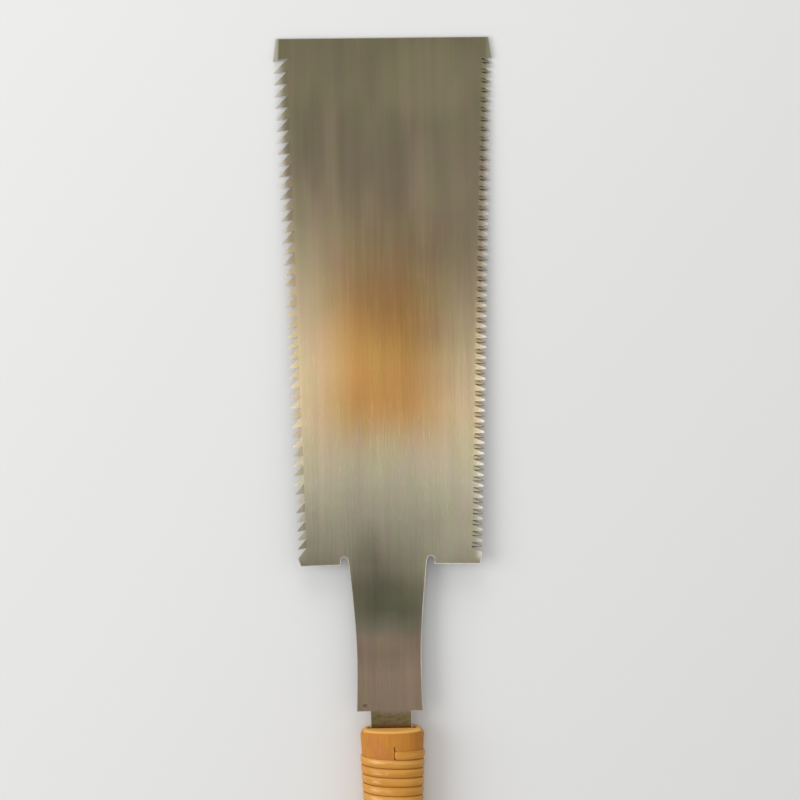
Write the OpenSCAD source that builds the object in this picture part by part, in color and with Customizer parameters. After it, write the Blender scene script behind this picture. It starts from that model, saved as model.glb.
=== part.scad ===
// Ryoba saw: a double-edged pull saw with a forged blade and a two-part wooden handle bound in cane.
// Millimetres. X runs across the blade (+X is the crosscut edge), Y along the saw (+Y is the toe),
// Z is the thickness. The model is drawn with the handle's front face at Y 0 and the blade's
// middle plane at Z 0, and is then moved so that its origin is the middle of its base.

/* [Plate] */
// Length of the rip row, measured along the saw
toothed_l = 242; // [200:0.1:280]
// How much sooner the crosscut row ends, at the heel
cut_sooner = 1.7; // [0:0.1:3]
// Width over the tooth points at the toe end of the teeth
toe_w = 106.4; // [98:0.1:118]
// Width over the tooth points at the heel end of the teeth
heel_w = 89.8; // [84:0.1:96]
// Plain edge between the first tooth and the toe
toe_land = 11.1; // [6:0.1:16]
// How much further the toe reaches at the rip edge than at the crosscut edge
toe_slant = 0.6; // [0:0.1:1.5]
// How far each toe corner draws in from the line of the first point
toe_draw = 1.5; // [0.5:0.1:4]
// Plain edge between the last rip tooth and the heel corner
heel_land = 3.8; // [3:0.1:8]
// How far each heel corner draws in from the line of the last point
heel_draw = 1.3; // [0.5:0.1:3]
// How far the heel corners hang towards the handle, past the heel line
heel_drop = 0.7; // [0.1:0.1:1.5]
// Thickness of the plate
plate_t = 0.8; // [0.6:0.05:1.2]

/* [Rip teeth] */
// Spacing of the points at the toe
rip_pitch_toe = 5.8; // [5:0.1:6.6]
// Spacing of the points at the heel
rip_pitch_heel = 4.35; // [3.6:0.05:4.8]
// Depth of the gullets at the toe
rip_depth_toe = 6.9; // [5.5:0.1:7.5]
// Depth of the gullets at the heel
rip_depth_heel = 4.3; // [3.5:0.1:5.2]
// Hook of the cutting face towards the handle, in degrees
rip_rake = 9.5; // [2:0.5:14]
// Length of the steeper relief behind each point
rip_crown = 0.9; // [0.4:0.1:1.4]
// Fall of that relief
rip_crown_drop = 0.6; // [0.2:0.1:1]
// How far each point is bent out of the plate, to alternate sides
rip_set = 0.3; // [0.1:0.05:0.5]

/* [Crosscut teeth] */
// Spacing of the points at the toe
cut_pitch_toe = 2.33; // [2:0.01:2.5]
// Spacing of the points at the heel
cut_pitch_heel = 2.69; // [2.6:0.01:3.2]
// Depth of the gullets at the toe
cut_depth_toe = 5.1; // [4:0.1:6]
// Depth of the gullets at the heel
cut_depth_heel = 5.6; // [4.4:0.1:6.4]
// How far each point stands towards the toe from the gullet behind it
cut_run = 0; // [-0.1:0.05:0.6]
// Angle of the filed bevels, away from square to the plate
cut_bevel = 40; // [15:1:42]
// Length of the top bevel behind each point
cut_crown = 0.85; // [0.4:0.05:1]
// Fall of the top bevel
cut_crown_drop = 0.5; // [0.2:0.05:0.8]
// How far each point is bent out of the plate, to alternate sides
cut_set = 0.25; // [0.1:0.05:0.4]

/* [Neck] */
// Length from the shoulders to the heel line
neck_l = 71.6; // [50:0.2:90]
// Width where the neck leaves the plate, between the notches
neck_root_w = 38.7; // [35:0.1:46]
// Least width
neck_waist_w = 31.2; // [27:0.1:33]
// Distance of the least width above the shoulders
neck_waist_at = 26; // [20:1:45]
// Width at the shoulders
shoulder_w = 32.2; // [29:0.1:35]
// Thickness at the shoulders, where the blade is thickest
shoulder_t = 2.2; // [1.6:0.1:3]
// Width of the two round-ended notches beside the neck
notch_w = 3.5; // [2.5:0.1:5]
// Depth of the notches above the heel line
notch_l = 3.6; // [2.6:0.1:6]
// Sideways place of the hand-forged neck, off the middle of the blade
neck_shift = -1.4; // [-2:0.1:2]

/* [Tang] */
// Bare length between the shoulders and the handle
tang_bare = 8.1; // [4:0.1:12]
// Length held in the handle
tang_held = 105; // [80:1:130]
// Width at the shoulders
tang_w = 20; // [16:0.1:23]
// Width at the end
tang_end_w = 9; // [6:0.5:13]
// Thickness at the end
tang_end_t = 1.2; // [0.8:0.1:1.5]
// Sideways place of the tang, off the middle of the blade
tang_shift = -0.8; // [-1.5:0.1:1.5]

/* [Handle] */
// Overall length
handle_l = 306; // [280:1:340]
// Width at the front
front_w = 31.3; // [28.5:0.1:34]
// Thickness at the front; the oval keeps this proportion along the handle
front_t = 22; // [19:0.1:28]
// Least width
waist_w = 26.1; // [24.5:0.1:28]
// Distance of the least width behind the front
waist_at = 75; // [50:1:110]
// Width at the butt
butt_w = 32; // [29:0.1:36]
// Radius of the front's corners, seen from above
front_corner_r = 4.2; // [2:0.1:6]
// How far the rounding of the front's rim runs along the handle
front_round_l = 1; // [0.4:0.1:2]
// How far that rounding reaches in over the front
front_round_in = 2; // [0.4:0.1:3]
// Rounding of the butt's edge
butt_edge_r = 2.4; // [1:0.1:4]
// Sideways place of the handle, off the middle of the blade
handle_shift = -0.5; // [-1.5:0.1:1.5]

/* [Cane] */
// Width of the split cane
cane_w = 3.93; // [3:0.01:5]
// Width of its crown
cane_crown_w = 2.6; // [1.6:0.1:2.8]
// Thickness of the cane
cane_t = 0.8; // [0.5:0.05:1.2]
// Space between one turn and the next
cane_space = 0.47; // [0.42:0.01:0.8]
// Distance of the first turn's middle behind the handle's front
cane_at = 11.5; // [9:0.1:20]
// Bare wood left at the butt
butt_bare = 26; // [15:1:40]
// Where the first end is tucked in, in degrees round from the top
cane_first = 8; // [0:1:20]
// Length of each end that is tucked into the wood
tuck_l = 3.2; // [2.5:0.1:4]
// Width of the knife cut that opens the first slot
slit_w = 0.4; // [0.3:0.05:0.6]
// How far that cut runs on towards the front, past the cane
slit_run = 2; // [0.5:0.1:4]

/* [Fits] */
// Clearance on each face of the tang
tang_fit = 0.05; // [0.03:0.01:0.1]
// Clearance on each edge of the tang at the mouth of its slot
tang_side = 1.8; // [0.5:0.1:2.2]
// Clearance on each edge of the tang at its end
tang_side_end = 0.5; // [0.2:0.1:1]
// Space left past the end of the tang
tang_end_space = 3; // [1:0.5:6]
// Clearance between the cane and the wood
cane_seat = 0.15; // [0.1:0.01:0.3]
// Clearance between two ends tucked into one slot
tuck_space = 0.45; // [0.42:0.01:0.8]

/* [Hidden] */
$fn = 64;
steel = "#8f8a78";
timber = "#c58a4a";
cane = "#cf9a50";

// stations along the saw, from the handle's front face
shoulder_y = tang_bare;
heel_y = shoulder_y + neck_l;
corner_y = heel_y - heel_drop;
last_y = corner_y + heel_land;
first_y = last_y + toothed_l;
toe_y = first_y + toe_land;

// tooth rows: how many points, and where each one stands below the first
function row_count(length, toe, heel) = round(length * ln(toe / heel) / (toe - heel));
function row_growth(length, toe, heel) = pow(heel / toe, 1 / (row_count(length, toe, heel) - 1));
function row_run(i, length, toe, heel) = let (q = row_growth(length, toe, heel))
    length * (1 - pow(q, i)) / (1 - pow(q, row_count(length, toe, heel)));
cut_l = toothed_l - cut_sooner;
rip_n = row_count(toothed_l, rip_pitch_toe, rip_pitch_heel);
cut_n = row_count(cut_l, cut_pitch_toe, cut_pitch_heel);
function rip_run(i) = row_run(i, toothed_l, rip_pitch_toe, rip_pitch_heel);
function cut_run_of(i) = row_run(i, cut_l, cut_pitch_toe, cut_pitch_heel);
function blend(a, b, run) = a + (b - a) * run / toothed_l;
function point_x(run) = blend(toe_w, heel_w, run) / 2;
function rip_depth(run) = blend(rip_depth_toe, rip_depth_heel, run);
function cut_depth(run) = blend(cut_depth_toe, cut_depth_heel, run);
function rip_gullet_run(i) = rip_run(i) - rip_depth(rip_run(i)) * tan(rip_rake);
function cut_gullet_run(i) = cut_run_of(i) + cut_run;
function gullet_x(run, depth) = point_x(run) - depth;
function side(i) = i % 2 == 0 ? 1 : -1;
row_root = 1;
cut_skew = plate_t * tan(cut_bevel);

// neck outline, as its half width at a height above the shoulders
function neck_half(h) = h > neck_waist_at
    ? neck_waist_w / 2 + (neck_root_w - neck_waist_w) / 2
        * pow((h - neck_waist_at) / (neck_l + notch_l - neck_waist_at), 1.5)
    : neck_waist_w / 2 + (shoulder_w - neck_waist_w) / 2
        * pow((neck_waist_at - h) / neck_waist_at, 2);
neck_steps = 12;
neck_heights = [for (i = [0:neck_steps]) i * (neck_l + notch_l) / neck_steps];

// handle outline: two arcs that meet at the waist
function arc_r(reach, rise) = (reach * reach + rise * rise) / (2 * rise);
function arc_rise(d, r) = r - sqrt(r * r - d * d);
front_arc_r = arc_r(waist_at, (front_w - waist_w) / 2);
butt_arc_r = arc_r(handle_l - waist_at, (butt_w - waist_w) / 2);
function wood_r(s) = waist_w / 2 + arc_rise(s - waist_at, s < waist_at ? front_arc_r : butt_arc_r);
oval = front_t / front_w;
front_steps = 8;
butt_steps = 9;
edge_steps = 4;
spare = 1;

// cane: every turn has the same number of straight pieces
turn_sides = 16;
turn_step = 360 / turn_sides;
pitch = cane_w + cane_space;
strips = 3;
strip_turns = floor((handle_l - cane_at - butt_bare) / pitch / strips);
underside = 180;
function turn_s(a) = cane_at + pitch * a / 360;
function oval_pt(a, r) = [r * sin(a), 0, r * oval * cos(a)];
function unit(v) = v / norm(v);
function oval_out(a) = unit([oval * sin(a), 0, cos(a)]);
function oval_on(a) = unit([cos(a), 0, -oval * sin(a)]);
tuck_reach = cane_t + 2 * cane_seat;
splice_reach = tuck_reach + cane_t + tuck_space;
function splice_turn(a) = asin(splice_reach / 2 / wood_r(turn_s(a)));
first_splice = underside + 360 * strip_turns;
second_splice = first_splice + 360 * strip_turns;
last_tuck = second_splice + 360 * strip_turns;

// one section of the cane: foot and crown on the toe side, then crown and foot on the butt side
function edge_s(a, e, w) = turn_s(a) + e * w / 2;
function laid(a, s, up) = let (grow = 1 / cos(turn_step / 2))
    oval_pt(a, wood_r(s)) * grow + oval_out(a) * (cane_seat * grow + up) - [0, s, 0];
function laid_ring(a) = [
    laid(a, edge_s(a, -1, cane_w), 0),
    laid(a, edge_s(a, -1, cane_crown_w), cane_t),
    laid(a, edge_s(a, 1, cane_crown_w), cane_t),
    laid(a, edge_s(a, 1, cane_w), 0)];

// sections of a tucked end: they turn about the edge of the slot, then run straight down it
function tuck_point(a, slot, s, dir, bend, down, off) =
    oval_pt(a, wood_r(s)) - [0, s, 0] - oval_out(slot) * down
    + (oval_out(slot) * sin(bend) - oval_on(slot) * dir * cos(bend)) * off;
function tuck_ring(a, slot, dir, bend, down) =
    [for (c = [[-1, cane_w, 0], [-1, cane_crown_w, cane_t], [1, cane_crown_w, cane_t], [1, cane_w, 0]])
        tuck_point(a, slot, edge_s(a, c[0], c[1]), dir, bend, down, cane_seat + c[2])];
function tuck_in(a, slot, dir) = [tuck_ring(a, slot, dir, 0, tuck_l), tuck_ring(a, slot, dir, 0, 0),
    tuck_ring(a, slot, dir, 45, 0), tuck_ring(a, slot, dir, 90, 0)];
function reversed(list) = [for (i = [len(list) - 1:-1:0]) list[i]];
function strip(start, start_slot, end, end_slot) =
    let (count = floor((end - start) / turn_step), step = (end - start) / count)
    concat(tuck_in(start, start_slot, 1), [for (i = [0:count - 1]) laid_ring(start + (i + 0.5) * step)],
        reversed(tuck_in(end, end_slot, -1)));
front_strip = strip(cane_first, cane_first, first_splice - splice_turn(first_splice), first_splice);
middle_strip = strip(first_splice + splice_turn(first_splice), first_splice,
    second_splice - splice_turn(second_splice), second_splice);
rear_strip = strip(second_splice + splice_turn(second_splice), second_splice, last_tuck, last_tuck);

// least gap of a strip to itself, between one turn and the next
function turn_gap(rings) = min([for (i = [4:len(rings) - turn_sides - 6]) for (j = [-1:1])
    for (p = [rings[i][2], rings[i][3]]) for (q = [rings[i + turn_sides + j][0], rings[i + turn_sides + j][1]])
        norm(p - q)]);
echo(turns_in_each_strip = strip_turns, least_gap_of_front = turn_gap(front_strip),
    least_gap_of_middle = turn_gap(middle_strip), least_gap_of_rear = turn_gap(rear_strip));

// the saw's base is the lowest of the cane's turns
base_z = min([for (rings = [front_strip, middle_strip, rear_strip]) for (r = rings) for (p = r) p[2]]);
centre_y = (toe_y - handle_l) / 2;

// outline of the plate between the two tooth rows, with its plain lands
module plate_outline() {
    rip_top = rip_gullet_run(0);
    rip_end = rip_gullet_run(rip_n - 1);
    cut_top = cut_gullet_run(0);
    cut_end = cut_gullet_run(cut_n - 1);
    polygon([
        [-toe_w / 2 + toe_draw, toe_y],
        [toe_w / 2 - toe_draw, toe_y - toe_slant],
        [toe_w / 2, first_y],
        [gullet_x(cut_top, cut_depth(cut_top)), first_y - cut_top],
        [gullet_x(cut_end, cut_depth(cut_end)), first_y - cut_end],
        [point_x(cut_l), first_y - cut_l],
        [heel_w / 2 - heel_draw, corner_y],
        [neck_shift, heel_y],
        [-heel_w / 2 + heel_draw, corner_y],
        [-heel_w / 2, last_y],
        [-gullet_x(rip_end, rip_depth(rip_end)), first_y - rip_end],
        [-gullet_x(rip_top, rip_depth(rip_top)), first_y - rip_top],
        [-toe_w / 2, first_y]]);
}

module neck_outline() {
    translate([neck_shift, shoulder_y])
        polygon(concat([for (h = neck_heights) [neck_half(h), h]],
            reversed([for (h = neck_heights) [-neck_half(h), h]])));
}

module tang_outline(grow_mouth, grow_end, longer) {
    translate([tang_shift, 0])
        polygon([[tang_w / 2 + grow_mouth, shoulder_y], [tang_w / 2 + grow_mouth, 0],
            [tang_end_w / 2 + grow_end, -tang_held - longer],
            [-tang_end_w / 2 - grow_end, -tang_held - longer],
            [-tang_w / 2 - grow_mouth, 0], [-tang_w / 2 - grow_mouth, shoulder_y]]);
}

// the notches that free the heel corners; the neck's own edge is their inner wall
module notch_outline() {
    round_y = heel_y + notch_l - notch_w / 2;
    under_neck = 1;
    for (s = [0, 1])
        translate([neck_shift, 0])
            mirror([s, 0]) {
                translate([(neck_root_w + notch_w) / 2, round_y])
                    circle(d = notch_w);
                translate([neck_root_w / 2 - under_neck, corner_y - heel_drop])
                    square([notch_w + under_neck, round_y - corner_y + heel_drop]);
            }
}

// thickness of the forging, drawn from the side: plate, thickening neck, thinning tang
module forging_profile(fit) {
    end_y = -tang_held - tang_end_space;
    end_half = tang_end_t / 2 + fit;
    mouth_half = shoulder_t / 2 + fit;
    polygon([[toe_y, plate_t / 2], [heel_y, plate_t / 2], [shoulder_y, mouth_half], [0, mouth_half],
        [end_y, end_half], [end_y, -end_half], [0, -mouth_half], [shoulder_y, -mouth_half],
        [heel_y, -plate_t / 2], [toe_y, -plate_t / 2]]);
}

// a side profile, swept across the saw
module across(width) {
    rotate([90, 0, 90])
        linear_extrude(width, center = true)
            children();
}

// a row of teeth on the +X edge; four points for each gullet come first in the list
module tooth_row(gullets, teeth, teeth_faces) {
    m = len(gullets) / 4 - 1;
    bands = [for (i = [1:m]) let (a = 4 * i - 4, b = 4 * i) each [
        [a, a + 2, b + 2, b],
        [b + 1, b + 3, a + 3, a + 1],
        [a, b, b + 1, a + 1]]];
    ends = [[2, 0, 1, 3], [4 * m, 4 * m + 2, 4 * m + 3, 4 * m + 1]];
    polyhedron(points = concat(gullets, teeth), faces = concat(bands, ends, teeth_faces));
}

function gullet_points(run, depth, skew) = [for (x = [gullet_x(run, depth) - row_root, gullet_x(run, depth)])
    for (z = [1, -1]) [x, first_y - run - z * skew / 2, z * plate_t / 2]];

// rip teeth: chisel points filed square across, hooked towards the handle and set to alternate sides
module rip_row() {
    m = rip_n - 1;
    gullets = [for (i = [0:m]) each gullet_points(rip_gullet_run(i), rip_depth(rip_gullet_run(i)), 0)];
    teeth = [for (i = [1:m]) let (run = rip_run(i), x = point_x(run), d = rip_depth(run))
        for (z = [1, -1]) for (c = [[rip_crown, rip_crown_drop], [0, 0]])
            [x - c[1], first_y - run + c[0], z * plate_t / 2 + side(i) * rip_set * (1 - c[1] / d)]];
    faces = [for (i = [1:m]) let (a = 4 * i - 4, b = 4 * i, t = 4 * (m + 1) + 4 * (i - 1)) each [
        [a + 2, t, t + 1, b + 2],
        [b + 3, t + 3, t + 2, a + 3],
        [a + 2, a + 3, t + 2, t],
        [t, t + 2, t + 3, t + 1],
        [t + 1, t + 3, b + 3, b + 2]]];
    tooth_row(gullets, teeth, faces);
}

// crosscut teeth: knife points, bevelled on the inner side only and set to alternate sides
module cut_row() {
    m = cut_n - 1;
    gullets = [for (i = [0:m]) each gullet_points(cut_gullet_run(i), cut_depth(cut_gullet_run(i)),
        side(i) * cut_skew)];
    teeth = [for (i = [1:m]) let (
            run = cut_run_of(i), x = point_x(run), d = cut_depth(run), s = side(i),
            from = cut_gullet_run(i - 1), to = cut_gullet_run(i),
            brow = 1 - cut_crown_drop / d,
            back = run - cut_crown - from + cut_skew / 2,
            face = to + cut_skew / 2 - run,
            along = (to - from - cut_skew) / (back + face * brow),
            inner = along * brow)
        each [
            [x - cut_crown_drop, first_y - run + cut_crown, s * (plate_t / 2 + cut_set * brow)],
            [x, first_y - run, s * (plate_t / 2 + cut_set)],
            [x - d * (1 - inner), first_y - from - cut_skew / 2 - along * back, s * (cut_set * inner - plate_t / 2)]]];
    faces = [for (i = [1:m]) let (
            up = side(i) > 0, t = 4 * (m + 1) + 3 * (i - 1),
            outer_0 = 4 * i - 4 + (up ? 2 : 3), inner_0 = 4 * i - 4 + (up ? 3 : 2),
            outer_1 = 4 * i + (up ? 2 : 3), inner_1 = 4 * i + (up ? 3 : 2),
            tooth = [
                [outer_0, t, t + 1, outer_1],
                [inner_1, t + 2, inner_0],
                [outer_0, inner_0, t + 2, t],
                [t + 1, t, t + 2],
                [outer_1, t + 1, t + 2, inner_1]])
        each [for (f = tooth) up ? f : reversed(f)]];
    tooth_row(gullets, teeth, faces);
}

module blade_solid() {
    intersection() {
        linear_extrude(shoulder_t + 1, center = true) {
            difference() {
                plate_outline();
                notch_outline();
            }
            neck_outline();
            tang_outline(0, 0, 0);
        }
        across(toe_w + 10)
            forging_profile(0);
    }
    mirror([1, 0, 0])
        rip_row();
    cut_row();
}

// the handle's outside, turned and then flattened to its oval
module barrel() {
    front = [for (i = [0:front_steps]) waist_at * i / front_steps];
    back = [for (i = [1:butt_steps]) waist_at + (handle_l - butt_edge_r - waist_at) * i / butt_steps];
    butt_x = wood_r(handle_l - butt_edge_r) - butt_edge_r;
    front_x = wood_r(front_round_l) - front_round_in;
    front_round = [for (i = [0:edge_steps]) let (a = 90 * i / edge_steps)
        [front_x + front_round_in * sin(a), front_round_l * (1 - cos(a))]];
    butt_round = [for (i = [1:edge_steps]) let (a = 90 * i / edge_steps)
        [butt_x + butt_edge_r * cos(a), handle_l - butt_edge_r + butt_edge_r * sin(a)]];
    side_points = [for (s = concat([for (s = front) if (s > front_round_l) s], back)) [wood_r(s), s]];
    scale([1, 1, oval])
        rotate([90, 0, 0])
            rotate_extrude($fn = 96)
                polygon(concat([[0, -spare], [front_x, -spare]], front_round, side_points, butt_round,
                    [[butt_x, handle_l + spare], [0, handle_l + spare]]));
}

// plan of the handle: flat ends, and the front's rounded corners
module barrel_plan() {
    corner_x = wood_r(0) - front_corner_r;
    for (s = [-1, 1])
        translate([s * corner_x, -front_corner_r])
            circle(front_corner_r);
    translate([-corner_x, -handle_l])
        square([2 * corner_x, handle_l]);
    translate([-butt_w / 2 - spare, -handle_l])
        square([butt_w + 2 * spare, handle_l - front_corner_r]);
}

// slot for tucked ends; first is where its first wall stands, going round the handle,
// and run is how far it goes on towards the front, past the cane
module tuck_slot(a, first, reach, run = 0) {
    s = turn_s(a);
    deep = tuck_l + cane_seat;
    out = oval_out(a);
    on_handle()
        translate(oval_pt(a, wood_r(s)) - [0, s, 0])
            rotate([0, atan2(out[0], out[2]), 0])
                translate([first, -cane_w / 2 - cane_seat, -deep])
                    cube([reach, cane_w + 2 * cane_seat + run, deep + spare]);
}

// one half of the handle, above the joint plane, hollowed for its share of the tang
module half_solid() {
    difference() {
        on_handle()
            intersection() {
                barrel();
                linear_extrude(front_t)
                    barrel_plan();
            }
        intersection() {
            linear_extrude(shoulder_t + 1, center = true)
                tang_outline(tang_side, tang_side_end, tang_end_space);
            across(front_w + 10)
                forging_profile(tang_fit);
        }
    }
}

module cane_solid(rings) {
    last = 4 * (len(rings) - 1);
    sides = [for (i = [0:len(rings) - 2]) for (j = [0:3])
        let (a = 4 * i + j, b = 4 * i + (j + 1) % 4) each [[a, a + 4, b + 4], [a, b + 4, b]]];
    on_handle()
        polyhedron(points = [for (r = rings) each r],
            faces = concat([[0, 1, 2, 3]], sides, [[last + 3, last + 2, last + 1, last]]));
}

// moves what is drawn round the handle's own axis to its place beside the blade's
module on_handle() {
    translate([handle_shift, 0, 0])
        children();
}

// moves a piece from the drawing's origin to the model's own
module place() {
    translate([0, -centre_y, -base_z])
        children();
}

module blade() {
    color(steel)
        place()
            blade_solid();
}

module handle_upper_half() {
    color(timber)
        place()
            difference() {
                half_solid();
                tuck_slot(cane_first, -tuck_reach, tuck_reach);
                tuck_slot(cane_first, -tuck_reach, slit_w, slit_run);
            }
}

module handle_lower_half() {
    color(timber)
        place()
            difference() {
                mirror([0, 0, 1])
                    half_solid();
                tuck_slot(first_splice, -splice_reach / 2, splice_reach);
                tuck_slot(second_splice, -splice_reach / 2, splice_reach);
                tuck_slot(last_tuck, 0, tuck_reach);
            }
}

module cane_front() {
    color(cane)
        place()
            cane_solid(front_strip);
}

module cane_middle() {
    color(cane)
        place()
            cane_solid(middle_strip);
}

module cane_rear() {
    color(cane)
        place()
            cane_solid(rear_strip);
}

blade();
handle_upper_half();
handle_lower_half();
cane_front();
cane_middle();
cane_rear();
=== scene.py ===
# Ryoba saw: the looks of its forged blade, its two-part wooden handle and its cane binding
import math

import bmesh
import bpy
from mathutils import Matrix, Vector, noise


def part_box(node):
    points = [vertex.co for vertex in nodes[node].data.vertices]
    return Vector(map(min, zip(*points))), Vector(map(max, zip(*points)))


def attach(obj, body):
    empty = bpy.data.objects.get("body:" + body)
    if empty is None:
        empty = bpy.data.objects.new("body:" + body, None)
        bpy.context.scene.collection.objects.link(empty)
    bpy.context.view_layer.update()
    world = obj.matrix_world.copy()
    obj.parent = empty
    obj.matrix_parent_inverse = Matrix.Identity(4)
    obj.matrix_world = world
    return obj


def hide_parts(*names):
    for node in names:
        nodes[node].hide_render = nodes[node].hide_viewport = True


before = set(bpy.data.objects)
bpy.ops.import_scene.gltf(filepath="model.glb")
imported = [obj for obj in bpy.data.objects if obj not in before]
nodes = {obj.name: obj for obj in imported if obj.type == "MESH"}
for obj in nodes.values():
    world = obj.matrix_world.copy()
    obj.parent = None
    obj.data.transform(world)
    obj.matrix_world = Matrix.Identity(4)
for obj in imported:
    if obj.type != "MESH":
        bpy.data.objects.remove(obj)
for spare in ("Cube", "Light", "Camera"):  # the start-up file's own objects
    if spare in bpy.data.objects:
        bpy.data.objects.remove(bpy.data.objects[spare])
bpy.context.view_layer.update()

# Places that the frame gives: the handle's joint plane, middle and front, and the blade's toe
woodLow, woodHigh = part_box("handle_upper_half")
bladeLow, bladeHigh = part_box("blade")
axisZ = woodLow.z
gripX = (woodLow.x + woodHigh.x) / 2
frontY = woodHigh.y
toeY = bladeHigh.y
print("frame: handle front at y %.4f, blade plane at z %.4f" % (frontY, axisZ))


class Wire:  # a shader socket that can be used in plain expressions
    def __init__(self, paint, socket):
        self.paint = paint
        self.socket = socket

    def maths(self, operation, *values):
        return self.paint.node("ShaderNodeMath", {"operation": operation}, dict(enumerate(values)))

    def __add__(self, other):
        return self.maths("ADD", self, other)

    __radd__ = __add__

    def __sub__(self, other):
        return self.maths("SUBTRACT", self, other)

    def __rsub__(self, other):
        return self.maths("SUBTRACT", other, self)

    def __mul__(self, other):
        return self.maths("MULTIPLY", self, other)

    __rmul__ = __mul__

    def __truediv__(self, other):
        return self.maths("DIVIDE", self, other)

    def __pow__(self, power):
        return self.maths("POWER", self, power)

    def __abs__(self):
        return self.maths("ABSOLUTE", self)

    def above(self, low, high):  # 0 below low, 1 above high, and smooth between them
        return self.paint.node("ShaderNodeMapRange", {"interpolation_type": "SMOOTHSTEP"},
                               {0: self, 1: low, 2: high})


class Paint:  # one material; its finish goes on a Principled shader
    def __init__(self, name, **fixed):
        self.material = bpy.data.materials.new(name)
        self.material.use_nodes = True
        self.tree = self.material.node_tree
        self.tree.nodes.clear()
        self.shader = self.tree.nodes.new("ShaderNodeBsdfPrincipled")
        output = self.tree.nodes.new("ShaderNodeOutputMaterial")
        self.tree.links.new(self.shader.outputs[0], output.inputs[0])
        self.finish(**fixed)

    def feed(self, socket, value):
        if isinstance(value, Wire):
            self.tree.links.new(value.socket, socket)
        elif hasattr(value, "__len__") and len(value) == 3 and socket.type == "RGBA":
            socket.default_value = (*value, 1)
        else:
            socket.default_value = value

    def node(self, kind, settings, sockets, out=0):
        made = self.tree.nodes.new(kind)
        for name, value in settings.items():
            if name == "stops":
                ramp = made.color_ramp
                while len(ramp.elements) < len(value):
                    ramp.elements.new(1)
                for element, (place, colour) in zip(ramp.elements, value):
                    element.position = place
                    element.color = (*colour, 1)
            else:
                setattr(made, name, value)
        for name, value in sockets.items():
            self.feed(made.inputs[name], value)
        return Wire(self, made.outputs[out])

    def place(self, axes):  # object coordinates, as one vector and as a number for each axis asked for
        point = self.node("ShaderNodeTexCoord", {}, {}, "Object")
        return point, *(self.node("ShaderNodeSeparateXYZ", {}, {0: point}, axis) for axis in axes)

    def grain(self, point, scale, shift=0, detail=2, roughness=0.5, cut=None):
        stretched = self.node("ShaderNodeVectorMath", {"operation": "MULTIPLY_ADD"},
                              {0: point, 1: scale, 2: (0, 0, shift)})
        made = self.node("ShaderNodeTexNoise", {}, {"Vector": stretched, "Scale": 1, "Detail": detail,
                                                    "Roughness": roughness}, "Fac")
        return made.above(*cut) if cut else made

    def grains(self, point, look):  # a material's noises, each with its own scale for each axis
        return {name: self.grain(point, **about) for name, about in look["grains"].items()}

    def ramp(self, value, stops):  # blends the tones of places in a row
        low, high = stops[0][0], stops[-1][0]
        fitted = [((place - low) / (high - low), tone) for place, tone in stops]
        return self.node("ShaderNodeValToRGB", {"stops": fitted}, {0: (value - low) / (high - low)})

    def mix(self, factor, first, second, blend="MIX"):
        return self.node("ShaderNodeMix", {"data_type": "RGBA", "blend_type": blend},
                         {0: factor, 6: first, 7: second}, 2)

    def tint(self, colour, by):
        return self.mix(1.0, colour, by, "MULTIPLY")

    def rounded(self, radius):  # the normal that softly rounded edges would have
        return self.node("ShaderNodeBevel", {"samples": 6}, {"Radius": radius})

    def edges(self, radius):  # 1 on the edges, and 0 on the flats
        flat = self.node("ShaderNodeNewGeometry", {}, {}, "Normal")
        facing = self.node("ShaderNodeVectorMath", {"operation": "DOT_PRODUCT"},
                           {0: self.rounded(radius), 1: flat}, "Value")
        return (1 - facing).above(0.002, 0.04)

    def bump(self, height, strength, distance, **base):
        return self.node("ShaderNodeBump", {},
                         {"Strength": strength, "Distance": distance, "Height": height, **base})

    def finish(self, **looks):
        for name, value in looks.items():
            self.feed(self.shader.inputs[name.replace("_", " ")], value)


def between(mask, low, high):  # low where the mask is 0, and high where it is 1
    return low + mask * (high - low)


def oval(x, y, middle, reach):  # 0 in the middle of an oval, and 1 on its rim
    across = (x - middle[0]) / reach[0]
    along = (y - middle[1]) / reach[1]
    return across * across + along * along


def wear(node, paint):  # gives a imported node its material
    for slot in nodes[node].material_slots:
        slot.material = paint.material


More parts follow.
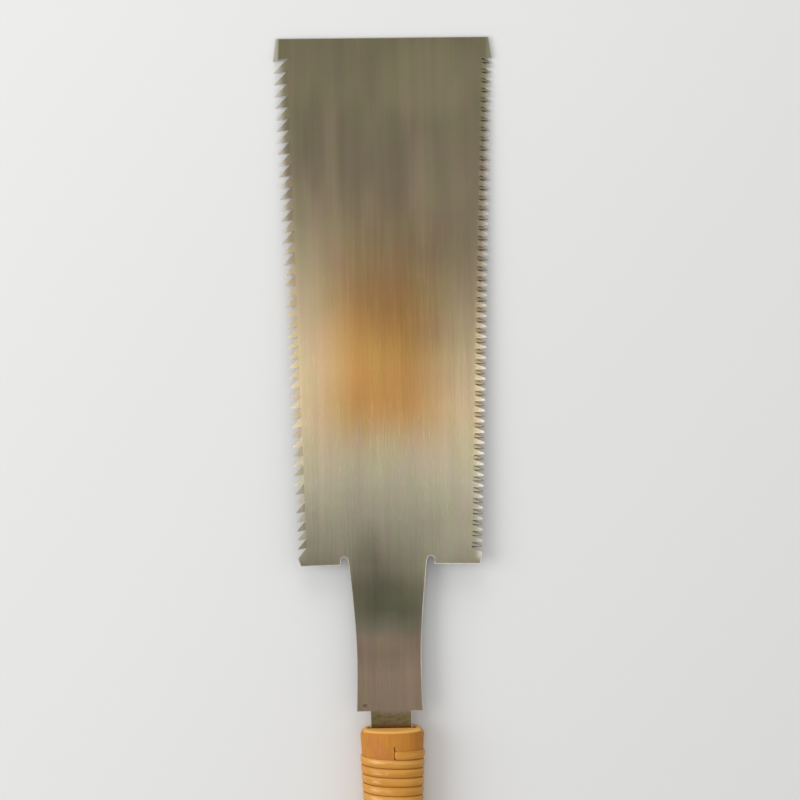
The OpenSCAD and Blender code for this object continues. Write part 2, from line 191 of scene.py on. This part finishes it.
# Blade: brushed steel, olive grey at the toe, dark on the neck and rosy at the shoulders, with a painted
# highlight band and a painted warm reflection in the middle. Its places are in the frame's x and y.
bladeLook = {
    "tones": {
        "tang": (0.185, 0.140, 0.066), "shoulder": (0.25, 0.185, 0.130), "collar": (0.198, 0.148, 0.105),
        "brow": (0.152, 0.134, 0.098), "neck": (0.113, 0.104, 0.070), "foot": (0.205, 0.186, 0.136),
        "heel": (0.31, 0.275, 0.20), "litBand": (0.39, 0.305, 0.19), "dusk": (0.225, 0.184, 0.122),
        "toe": (0.232, 0.200, 0.124),
    },
    "tangEnds": (-0.0093, -0.0063),
    "tonesAt": [  # past the tang, towards the toe; from the foot to the dusk they rise and fall as a painted highlight band over the steel's own tone
        (0.010, "shoulder"), (0.020, "collar"), (0.028, "collar"), (0.033, "brow"), (0.042, "neck"),
        (0.053, "neck"), (0.076, "foot"), (0.104, "heel"), (0.138, "litBand"), (0.162, "litBand"),
        (0.235, "dusk"), (0.265, "dusk"), (0.295, "toe"),
    ],
    "toneWander": 0.006,
    "middleShades": [  # how much darker the middle is than the sides
        (0.030, (1, 1, 1)), (0.042, (0.76, 0.78, 0.78)), (0.054, (0.76, 0.78, 0.78)),
        (0.068, (0.88, 0.88, 0.88)), (0.100, (0.76, 0.77, 0.76)), (0.150, (0.88, 0.88, 0.86)),
        (0.235, (1, 1, 1)),
    ],
    "halfWidths": (0.0155, 0.046),  # of the neck and of the plate
    "widens": (0.060, 0.080), "middleEnds": (0.15, 0.95),
    "grains": {  # scale across, along and through the plate
        "wander": {"scale": (160, 160, 160), "detail": 3},
        "streaks": {"scale": (1600, 30, 300), "detail": 4},
        "hairlines": {"scale": (5200, 150, 300)},
        "bands": {"scale": (190, 5, 0)},
        "clouds": {"scale": (18, 18, 18), "detail": 3},
        "scratches": {"scale": (2400, 130, 0), "shift": 9, "detail": 1, "cut": (0.64, 0.76)},
        "nicks": {"scale": (1900, 420, 0), "shift": 2},
        "casts": {"scale": (110, 38, 0), "shift": 4, "detail": 3, "roughness": 0.6, "cut": (0.38, 0.62)},
        "pits": {"scale": (900, 900, 900), "detail": 3},
        "spots": {"scale": (300, 700, 0), "detail": 4, "roughness": 0.65, "cut": (0.46, 0.62)},
    },
    "streakShare": 0.6, "brightNicks": (0.70, 0.78), "darkNicks": (0.24, 0.32), "darkNickShare": 0.7,
    "marksStart": (0.055, 0.085), "marksOnNeck": 0.55, "marksFade": (0.12, 0.24), "marksAtToe": 0.2,
    "depths": {
        "marks": 0.9, "bands": 0.3, "clouds": 0.28, "scratches": 0.22, "specks": 0.30, "teeth": 0.25,
    },
    "rosyCast": (1.015, 0.99, 1.02), "greenCast": (0.98, 1.025, 0.965),
    # the painted warm reflection: its tint and where it lies
    "reflectionTint": (0.88, 0.60, 0.32), "reflectionLeft": (-0.045, -0.012), "reflectionRight": (0.006, 0.043),
    "reflectionHeel": (0.109, 0.146), "reflectionToe": (0.174, 0.270), "reflectionFall": 1.4,
    "reflectionWander": {"across": 0.008, "streaks": 0.03, "clouds": 0.012},
    "rowStarts": (0.0648, 0.0688), "rowEnds": (0.3098, 0.3104),
    "leftRoots": (-0.0463, -0.0406), "rightRoots": (0.0481, 0.0393),  # at the toe and at the heel
    "filedAndLitLeft": (-0.002, 0.00325), "filedAndLitRight": (-0.0015, 0.0039),  # from the roots
    "tipsLeft": (0.00195, 0.00585), "tipsRight": (0.001625, 0.0052),
    "filedTipAndSheen": (0.69, 0.63, 0.56), "tipShares": (0.5, 0.85), "tipsGrow": (0.19, 0.27),
    "landTone": (0.66, 0.64, 0.50), "landStarts": (0.3098, 0.3108),
    "leftLand": -0.0510, "leftLandSlope": 0.05, "leftLandBlur": 0.0007,
    "rightLand": (0.0495, 0.0517), "rightLandShare": 0.35,
    "spotTone": (0.095, 0.068, 0.028), "edgeWearAndGlint": (0.72, 0.67, 0.58), "edgeRadius": 0.0007,
    "tangShadeTone": (0.10, 0.035, 0.008), "tangShadeReach": 0.003, "tangShadeWander": 0.002,
    "rustTone": (0.10, 0.06, 0.03), "rustSpot": (-0.0135, -0.0039), "rustReach": (0.0014, 0.0009),
    "rustRim": (0.1, 1.2), "rustRoughness": 0.3, "rustDulling": 0.6,
    "shares": {"land": 0.7, "spots": 0.5, "tangShade": 0.8, "edges": 0.7, "rust": 0.85},
    "patches": [  # painted highlights and painted shade: soft lighter and darker places, each with middle, reach and lift
        ((0.018, 0.203), (0.060, 0.042), -0.20), ((0.022, 0.302), (0.030, 0.026), 0.22),
        ((-0.0155, 0.262), (0.011, 0.038), -0.20), ((-0.043, 0.272), (0.010, 0.026), -0.13),
        ((0.0195, 0.250), (0.009, 0.040), 0.14), ((0.037, 0.268), (0.010, 0.042), 0.13),
        ((-0.020, 0.170), (0.018, 0.030), 0.09), ((-0.010, 0.058), (0.011, 0.032), -0.24),
        ((0.010, 0.036), (0.008, 0.018), -0.18), ((0.008, 0.110), (0.026, 0.032), 0.07),
        ((0.032, 0.066), (0.022, 0.024), 0.18), ((0.003, 0.258), (0.014, 0.032), -0.17),
        ((-0.034, 0.270), (0.007, 0.036), -0.18), ((0.024, 0.163), (0.024, 0.024), -0.11),
    ],
    "roughness": 0.30, "markRoughness": 0.25, "bump": {"strength": 0.3, "distance": 0.00003},
}


def bladePaint(look):
    # aged steel with painted highlights, painted shade and a painted reflection
    paint = Paint("agedAndLitSteel", Metallic=1.0)
    point, x, y = paint.place("XY")
    grain = paint.grains(point, look)
    tones, depths, shares = look["tones"], look["depths"], look["shares"]
    stops = list(zip(look["tangEnds"], (tones["tang"], tones["shoulder"])))
    stops += [(place, tones[name]) for place, name in look["tonesAt"]]
    # the tones hold a painted highlight band over the steel's own tone
    tone = paint.ramp(y + (grain["wander"] - 0.5) * look["toneWander"], stops)

    # the middle is darker than the sides, most of all on the neck
    shade = paint.ramp(y, look["middleShades"])
    halfWidth = between(y.above(*look["widens"]), *look["halfWidths"])
    middle = 1 - (abs(x) / halfWidth).above(*look["middleEnds"])

    # marks of the scraper run along the blade, and show most near the heel
    marks = grain["streaks"] * look["streakShare"] + grain["hairlines"] * (1 - look["streakShare"])
    darkSpecks = (1 - grain["nicks"].above(*look["darkNicks"])) * look["darkNickShare"]
    specks = grain["nicks"].above(*look["brightNicks"]) - darkSpecks
    worked = between(y.above(*look["marksFade"]), 1, look["marksAtToe"])
    worked = worked * between(y.above(*look["marksStart"]), look["marksOnNeck"], 1)

    # painted reflection: a soft warm patch whose edges follow the marks
    wander = look["reflectionWander"]
    reflectionX = x + (marks - 0.5) * wander["across"]
    reflectionY = y + (grain["streaks"] - 0.5) * wander["streaks"] + (grain["clouds"] - 0.5) * wander["clouds"]
    toToe = (1 - reflectionY.above(*look["reflectionToe"])) ** look["reflectionFall"]
    warmReflection = (reflectionX.above(*look["reflectionLeft"]) * (1 - reflectionX.above(*look["reflectionRight"]))
             * reflectionY.above(*look["reflectionHeel"]) * toToe)

    # teeth: clean filed steel with a painted highlight, so they brighten towards their points
    runDown = (toeY - y) / (toeY - look["rowStarts"][0])
    outLeft = between(runDown, *look["leftRoots"]) - x
    outRight = x - between(runDown, *look["rightRoots"])
    filedAndLit = outLeft.above(*look["filedAndLitLeft"]) + outRight.above(*look["filedAndLitRight"])
    tips = outLeft.above(*look["tipsLeft"]) + outRight.above(*look["tipsRight"])
    inRow = y.above(*look["rowStarts"]) * (1 - y.above(*look["rowEnds"]))

    # land: the corners of the toe past the teeth are ground bright
    leftLand = (y - look["landStarts"][0]) * look["leftLandSlope"] + look["leftLand"] - x
    land = leftLand.above(-look["leftLandBlur"], look["leftLandBlur"])
    land = (land + x.above(*look["rightLand"]) * look["rightLandShare"]) * y.above(*look["landStarts"])

    # rust: one small spot by the left shoulder; and painted shade with a painted reflection of the wood
    # where the tang enters the wood
    fromRust = oval(x, y, look["rustSpot"], look["rustReach"]) + grain["pits"] - 0.5
    rust = 1 - fromRust.above(*look["rustRim"])
    tangShade = 1 - (y - frontY + (grain["clouds"] - 0.5) * look["tangShadeWander"]).above(0, look["tangShadeReach"])

    # level: how light or dark the marks, the bands and the patches of painted highlight and painted shade
    # make the steel
    level = 1 + (marks - 0.5) * worked * depths["marks"]
    level = level + (grain["bands"] - 0.5) * depths["bands"] + (grain["clouds"] - 0.5) * depths["clouds"]
    # patches of painted highlight and painted shade
    for place, reach, lift in look["patches"]:
        level = level + (1 - oval(x, y, place, reach).above(0, 1)) * lift
    level = level + (grain["scratches"] * depths["scratches"] + specks * depths["specks"]) * worked
    # teeth: partly clean filed steel, partly painted highlight
    level = level + filedAndLit * inRow * depths["teeth"]

    # colour: from the steel's tone to what lies on it
    # painted reflection: the warm patch tints the steel
    colour = paint.tint(tone, paint.mix(warmReflection, (1, 1, 1), look["reflectionTint"]))
    colour = paint.tint(colour, paint.mix(grain["casts"], look["rosyCast"], look["greenCast"]))
    colour = paint.mix(middle, colour, paint.tint(colour, shade))
    colour = paint.mix(land * shares["land"], colour, look["landTone"])
    colour = paint.tint(colour, level)
    # painted highlight on the tips over the clean filed steel, stronger towards the toe
    tipShare = between(y.above(*look["tipsGrow"]), *look["tipShares"])
    colour = paint.mix(tips * inRow * tipShare, colour, look["filedTipAndSheen"])
    onTang = 1 - y.above(*look["tangEnds"])
    colour = paint.mix(grain["spots"] * onTang * shares["spots"], colour, look["spotTone"])
    # painted shade and a painted reflection of the wood on the tang at the mouth
    colour = paint.mix(tangShade * shares["tangShade"], colour, look["tangShadeTone"])
    # edges: partly worn clean steel, partly a painted highlight along them
    edges = paint.edges(look["edgeRadius"]) * (1 - filedAndLit.above(0, 0.3) * inRow)  # not on the teeth
    colour = paint.mix(edges * shares["edges"], colour, look["edgeWearAndGlint"])
    colour = paint.mix(rust * shares["rust"], colour, look["rustTone"])
    roughness = look["roughness"] + (marks - 0.5) * worked * look["markRoughness"]
    paint.finish(Base_Color=colour, Roughness=roughness + rust * look["rustRoughness"],
                 Metallic=1 - rust * look["rustDulling"],
                 Normal=paint.bump(marks * worked, **look["bump"]))
    return paint


wear("blade", bladePaint(bladeLook))
print("blade: steel laid on")

# Wood: bare softwood with soiled patches and painted shade on its right side, in two halves glued in the
# blade's plane
woodLook = {
    "pale": (0.58, 0.240, 0.036), "rosy": (0.55, 0.205, 0.047), "dark": (0.41, 0.135, 0.016),
    "soil": (0.40, 0.17, 0.022), "sideShadeTone": (0.33, 0.125, 0.006), "rim": (0.84, 0.45, 0.11),
    "mouth": (0.26, 0.10, 0.022), "glue": (0.20, 0.07, 0.015),
    "grains": {
        "waver": {"scale": (60, 9, 60)},
        "fibres": {"scale": (1500, 40, 1500), "detail": 4},
        "patches": {"scale": (170, 90, 170), "detail": 3, "cut": (0.40, 0.60)},
        "soiled": {"scale": (320, 240, 320), "detail": 5, "roughness": 0.65, "cut": (0.50, 0.68)},
    },
    "ringCentre": (0.006, -0.030), "ringWidth": 0.0013, "ringWaver": 0.004, "lateWood": (0.55, 0.95, 1.0),
    "darkFibres": (0.35, 0.8), "sideShadeFrom": 0.005, "rimReach": 0.0014,
    "mouthX": -0.0008, "mouthHalf": (0.0119, 0.0014), "mouthFades": (0.0005, 0.0007),
    "seamReach": (0.00004, 0.00014), "seamDip": 2, "edgeRadius": 0.0004,
    "shares": {
        "patches": 0.85, "late": 0.12, "fibres": 0.34, "soiled": 0.42, "sideShade": 0.45,
        "rim": 0.9, "seam": 0.8,
    },
    "roughness": (0.48, 0.63), "bump": {"strength": 0.3, "distance": 0.00005},
}


def woodPaint(look):
    paint = Paint("soiledAndShadedWood", Coat_Roughness=0.35, Coat_Weight=0.06, Specular_IOR_Level=0.14)
    point, x, y, z = paint.place("XYZ")
    grain = paint.grains(point, look)
    fibres, shares = grain["fibres"], look["shares"]

    # growth rings round a heart that lies below the handle, with dark late wood
    ringX = x - look["ringCentre"][0] + (grain["waver"] - 0.5) * look["ringWaver"]
    ringZ = z - axisZ - look["ringCentre"][1]
    rings = (ringX * ringX + ringZ * ringZ) ** 0.5 / look["ringWidth"]
    growth = rings.maths("FRACT", rings)
    start, peak, end = look["lateWood"]
    late = growth.above(start, peak) * (1 - growth.above(peak, end))
    darkened = late * shares["late"] + fibres.above(*look["darkFibres"]) * shares["fibres"]
    colour = paint.mix(grain["patches"] * shares["patches"], look["pale"], look["rosy"])
    colour = paint.mix(darkened, colour, look["dark"])
    colour = paint.mix(grain["soiled"] * shares["soiled"], colour, look["soil"])

    # painted shade: the right side is darker, as if lit from the left
    sideShade = (x - gripX).above(look["sideShadeFrom"], woodHigh.x - gripX)
    colour = paint.mix(sideShade * shares["sideShade"], colour, look["sideShadeTone"])

    # the front's rim is worn pale and carries a painted highlight, and painted shade darkens its mouth
    # round the tang
    rim = y.above(frontY - look["rimReach"], frontY - look["rimReach"] / 3)
    colour = paint.mix(rim * shares["rim"], colour, look["rim"])
    fadeX, fadeZ = look["mouthFades"]
    fromMouthX = abs(x - look["mouthX"]) - look["mouthHalf"][0]
    fromMouthZ = abs(z - axisZ) - look["mouthHalf"][1]
    mouth = rim * (1 - fromMouthX.above(0, fadeX)) * (1 - fromMouthZ.above(0, fadeZ))
    # painted shade in the mouth round the tang
    colour = paint.mix(mouth, colour, look["mouth"])
    seam = 1 - abs(z - axisZ).above(*look["seamReach"])
    colour = paint.mix(seam * shares["seam"], colour, look["glue"])
    normal = paint.bump(fibres - seam * look["seamDip"], **look["bump"],
                        Normal=paint.rounded(look["edgeRadius"]))
    paint.finish(Base_Color=colour, Roughness=between(fibres, *look["roughness"]), Normal=normal)
    return paint


handleWood = woodPaint(woodLook)
wear("handle_upper_half", handleWood)
wear("handle_lower_half", handleWood)
print("handle: wood laid on")

# Cane: three lengths of split cane wound tightly from the front to the butt, their ends tucked in
grip = {  # the wood's outline, as in the CAD model
    "frontWidth": 0.0313, "frontThick": 0.022, "waistWidth": 0.0261, "waistAt": 0.075, "buttWidth": 0.032,
}
cane = {
    "width": 0.00425, "height": 0.00092, "doming": 0.72, "pitch": 0.0044, "seat": 0.00003,
    "firstAt": 0.0115, "firstTurn": 8.0, "turns": 20, "stepsPerTurn": 36, "sides": 14,
    "swayTurn": 70, "sway": 0.00006, "swellTurn": 45, "swell": 0.08,  # slight unevenness by hand
    "bendSteps": 6, "tuckLength": 0.0030, "spliceGap": 0.00118,
}
handleLength = woodHigh.y - woodLow.y
flatness = grip["frontThick"] / grip["frontWidth"]


def arcRadius(reach, rise):
    return (reach * reach + rise * rise) / (2 * rise)


frontArc = arcRadius(grip["waistAt"], (grip["frontWidth"] - grip["waistWidth"]) / 2)
buttArc = arcRadius(handleLength - grip["waistAt"], (grip["buttWidth"] - grip["waistWidth"]) / 2)


def woodRadius(s):  # half width of the wood at a distance behind its front
    arc = frontArc if s < grip["waistAt"] else buttArc
    return grip["waistWidth"] / 2 + arc - math.sqrt(arc * arc - (s - grip["waistAt"]) ** 2)


def onWood(turn, s, height):  # turn in degrees from the top, towards the crosscut edge
    a = math.radians(turn)
    out = Vector((flatness * math.sin(a), 0, math.cos(a))).normalized()
    radius = woodRadius(s)
    point = Vector((gripX + radius * math.sin(a), frontY - s, axisZ + radius * flatness * math.cos(a)))
    return point + out * height, out


def turnAt(turn):
    return cane["firstAt"] + cane["pitch"] * turn / 360


def only(kind, geometry):
    return [part for part in geometry if isinstance(part, kind)]


def tuckEnd(bm, ring, turn, way):  # bends the end over the slot's edge and runs it down into the wood
    pivot, out = onWood(turn, turnAt(turn), 0)
    bent = bmesh.ops.spin(bm, geom=ring, cent=pivot, axis=(0, 1, 0), angle=way * math.pi / 2,
                          steps=cane["bendSteps"], use_merge=False)["geom_last"]
    tucked = bmesh.ops.extrude_edge_only(bm, edges=only(bmesh.types.BMEdge, bent))["geom"]
    bmesh.ops.translate(bm, vec=out * -cane["tuckLength"], verts=only(bmesh.types.BMVert, tucked))
    bmesh.ops.contextual_create(bm, geom=only(bmesh.types.BMEdge, tucked))


def windCane(name, node, start, end, seed):
    bm = bmesh.new()
    across = bm.verts.layers.float.new("across")
    along = bm.verts.layers.float.new("along")
    barrel = 0.02  # any radius does for the winding, which is then laid on the wood
    circle = bmesh.ops.create_circle(bm, segments=cane["sides"], radius=1)["verts"]
    for v in circle:  # a flat foot and a domed skin
        side, top = v.co.x, max(v.co.y, 0)
        v[across] = side
        rise = cane["height"] * top ** cane["doming"]
        v.co = Vector((0, -turnAt(start) - side * cane["width"] / 2, barrel + rise))
    ring = list(bm.edges) + circle
    bmesh.ops.rotate(bm, verts=circle, cent=(0, 0, 0), matrix=Matrix.Rotation(math.radians(start), 3, "Y"))
    steps = round((end - start) / 360 * cane["stepsPerTurn"])
    fall = cane["pitch"] * (end - start) / 360 / steps
    last = bmesh.ops.spin(bm, geom=ring, cent=(0, 0, 0), axis=(0, 1, 0), angle=math.radians(end - start),
                          dvec=(0, -fall, 0), steps=steps, use_merge=False)["geom_last"]
    for v in bm.verts:
        s = -v.co.y
        turn = math.degrees(math.atan2(v.co.x, v.co.z))
        turn += 360 * round((s - cane["firstAt"]) / cane["pitch"] - turn / 360)
        height = math.hypot(v.co.x, v.co.z) - barrel
        v[along] = turn / 360
        sway = noise.noise(Vector((turn / cane["swayTurn"], seed, 0))) * cane["sway"]
        swell = noise.noise(Vector((turn / cane["swellTurn"], seed, 5))) * cane["swell"]
        v.co = onWood(turn, s + sway, cane["seat"] + height * (1 + swell))[0]
    tuckEnd(bm, ring, start, -1)
    tuckEnd(bm, last, end, 1)
    bmesh.ops.recalc_face_normals(bm, faces=bm.faces)
    mesh = bpy.data.meshes.new(name)
    bm.to_mesh(mesh)
    bm.free()
    for face in mesh.polygons:
        face.use_smooth = True
    piece = bpy.data.objects.new(name, mesh)
    bpy.context.scene.collection.objects.link(piece)
    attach(piece, "handle")
    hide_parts(node)
    return piece


caneLook = {
    "skin": (0.62, 0.27, 0.034), "pale": (0.76, 0.38, 0.080), "line": (0.42, 0.16, 0.018),
    "edge": (0.46, 0.18, 0.015), "sideShadeTone": (0.42, 0.18, 0.006), "sheen": (0.84, 0.49, 0.22),
    "grains": {  # scale across and along the cane
        "fibres": {"scale": (9, 2.2, 0), "detail": 5, "roughness": 0.65},
        "lines": {"scale": (4, 0.9, 0), "shift": 7},
        "patches": {"scale": (0.6, 1.3, 0), "shift": 3},
        "hairs": {"scale": (26, 1.6, 0), "shift": 11, "cut": (0.50, 0.68)},
        "scuffs": {"scale": (1.5, 14, 0), "shift": 5, "detail": 3, "cut": (0.42, 0.62)},
    },
    "palePatches": (0.35, 0.7), "darkFibres": (0.45, 0.75), "lineWidth": 0.025, "edgesFrom": (0.78, 1.0),
    "sideShadeFrom": 0.003, "crestAt": -0.1, "crestReach": (0.1, 0.6),
    "sheenAt": -0.0062, "sheenReach": (0.0015, 0.0065), "sheenElsewhere": 0.3,
    "shares": {"fibres": 0.55, "lines": 0.5, "hairs": 0.35, "edges": 0.6, "sideShade": 0.5, "sheen": 0.55},
    "roughness": (0.34, 0.54), "bump": {"strength": 0.35, "distance": 0.00006},
}


def canePaint(look):
    paint = Paint("splitCane", Coat_Roughness=0.2, Coat_Weight=0.28, Specular_IOR_Level=0.16)
    across = paint.node("ShaderNodeAttribute", {"attribute_name": "across"}, {}, "Fac")
    along = paint.node("ShaderNodeAttribute", {"attribute_name": "along"}, {}, "Fac")
    grain = paint.grains(paint.node("ShaderNodeCombineXYZ", {}, {0: across, 1: along}), look)
    fibres, patches, shares = grain["fibres"], grain["patches"], look["shares"]
    colour = paint.mix(patches.above(*look["palePatches"]), look["skin"], look["pale"])
    colour = paint.mix(fibres.above(*look["darkFibres"]) * shares["fibres"], colour, look["line"])
    lines = 1 - abs(grain["lines"] - 0.5).above(0, look["lineWidth"])
    colour = paint.mix(lines * shares["lines"], colour, look["line"])
    colour = paint.mix(grain["hairs"] * shares["hairs"], colour, look["edge"])
    colour = paint.mix(abs(across).above(*look["edgesFrom"]) * shares["edges"], colour, look["edge"])
    x = paint.place("X")[1]
    # painted shade: the right side of the cane is darker, as if lit from the left
    sideShade = (x - gripX).above(look["sideShadeFrom"], woodHigh.x - gripX)
    colour = paint.mix(sideShade * shares["sideShade"], colour, look["sideShadeTone"])

    # painted highlight: the crest is lighter, most of all on a strip along the handle
    crest = 1 - abs(across - look["crestAt"] + (patches - 0.5)).above(*look["crestReach"])
    strip = 1 - abs(x - gripX - look["sheenAt"]).above(*look["sheenReach"])
    sheen = crest * grain["scuffs"] * (strip + look["sheenElsewhere"])
    # painted highlight on the crests
    colour = paint.mix(sheen * shares["sheen"], colour, look["sheen"])
    paint.finish(Base_Color=colour, Roughness=between(fibres, *look["roughness"]),
                 Normal=paint.bump(fibres, **look["bump"]))
    return paint


strandCane = canePaint(caneLook)


def spliceTurn(turn):  # how far from the middle of a shared slot each end dips in
    return math.degrees(math.asin(cane["spliceGap"] / woodRadius(turnAt(turn))))


firstSplice, secondSplice, lastTurn = (180 + 360 * cane["turns"] * n for n in (1, 2, 3))  # on the underside
firstDip = spliceTurn(firstSplice)
secondDip = spliceTurn(secondSplice)
lengths = [
    ("front", cane["firstTurn"], firstSplice - firstDip),
    ("middle", firstSplice + firstDip, secondSplice - secondDip),
    ("rear", secondSplice + secondDip, lastTurn),
]
for number, (part, start, end) in enumerate(lengths):
    winding = windCane("cane_winding_" + part, "cane_" + part, start, end, number * 10)
    winding.data.materials.append(strandCane.material)
    print("cane: %s wound with %d faces" % (winding.name, len(winding.data.polygons)))

# Room: a plain pale floor that the toe and the front turns of cane rest on, and soft light
room = {
    "floorTone": (0.78, 0.78, 0.77), "floorSize": 24.0, "floorGap": 0.0002,
    "worldTone": (1.0, 1.0, 1.0), "worldStrength": 0.5,
    "lamps": {
        "key": {"size": (1.0, 0.28), "place": (-0.05, 0.13, 1.55), "aim": (-0.05, 0.13, 0), "turn": -34,
                "power": 1.9},
        "left": {"size": (1.2, 1.2), "place": (-1.2, 0.1, 1.0), "aim": (0, 0.05, 0), "power": 11.0},
        "right": {"size": (1.2, 1.2), "place": (1.2, 0.2, 1.0), "aim": (0, 0.05, 0), "power": 1.6},
        "front": {"size": (0.8, 0.8), "place": (-0.1, 1.3, 0.6), "aim": (0, -0.02, 0), "power": 5.0},
    },
}
# The camera looks straight down on the blade, from where the photograph was taken
photo = {"lens": 76.7, "sensor": 36, "place": (0.0059, 0.1443), "aboveBlade": 0.8294, "roll": -0.921}


def layFloor():
    bm = bmesh.new()
    bmesh.ops.create_grid(bm, x_segments=1, y_segments=1, size=room["floorSize"] / 2)
    floor = bpy.data.objects.new("floor", bpy.data.meshes.new("floor"))
    bm.to_mesh(floor.data)
    bm.free()
    bpy.context.scene.collection.objects.link(floor)
    # the saw lies on its toe and on the front turns, so the floor slopes up to the toe
    restY = frontY - cane["firstAt"] + cane["width"] / 2
    restZ = axisZ - woodRadius(cane["firstAt"]) * flatness - cane["seat"] - cane["height"]
    slope = math.atan2(bladeLow.z - restZ, toeY - restY)
    floor.rotation_euler.x = slope
    floor.location = (0, restY, restZ - room["floorGap"])
    paint = Paint("paleFloor", Base_Color=room["floorTone"], Roughness=0.75, Specular_IOR_Level=0.2)
    floor.data.materials.append(paint.material)
    print("floor: slopes by %.2f degrees" % math.degrees(slope))


def hangLamp(name, about):
    lamp = bpy.data.lights.new(name, "AREA")
    lamp.shape = "ELLIPSE"
    lamp.size, lamp.size_y = about["size"]
    lamp.energy = about["power"]
    holder = bpy.data.objects.new(name, lamp)
    holder.location = about["place"]
    aim = (Vector(about["aim"]) - Vector(about["place"])).to_track_quat("-Z", "Y").to_matrix()
    turn = math.radians(about.get("turn", 0))  # about its own axis
    holder.rotation_euler = (aim @ Matrix.Rotation(turn, 3, "Z")).to_euler()
    bpy.context.scene.collection.objects.link(holder)


def setCamera():
    camera = bpy.data.cameras.new("camera")
    camera.sensor_width = photo["sensor"]
    camera.lens = photo["lens"]
    holder = bpy.data.objects.new("camera", camera)
    holder.location = (*photo["place"], axisZ + photo["aboveBlade"])
    holder.rotation_euler = (0, 0, math.radians(photo["roll"]))
    bpy.context.scene.collection.objects.link(holder)
    bpy.context.scene.camera = holder


layFloor()
for lampName, lampLook in room["lamps"].items():
    hangLamp(lampName, lampLook)
setCamera()
world = bpy.data.worlds.new("softRoom")
bpy.context.scene.world = world
world.use_nodes = True
background = world.node_tree.nodes["Background"]
background.inputs["Color"].default_value = (*room["worldTone"], 1)
background.inputs["Strength"].default_value = room["worldStrength"]
bpy.context.scene.view_settings.view_transform = "Standard"
print("room: floor, lamps and camera set")
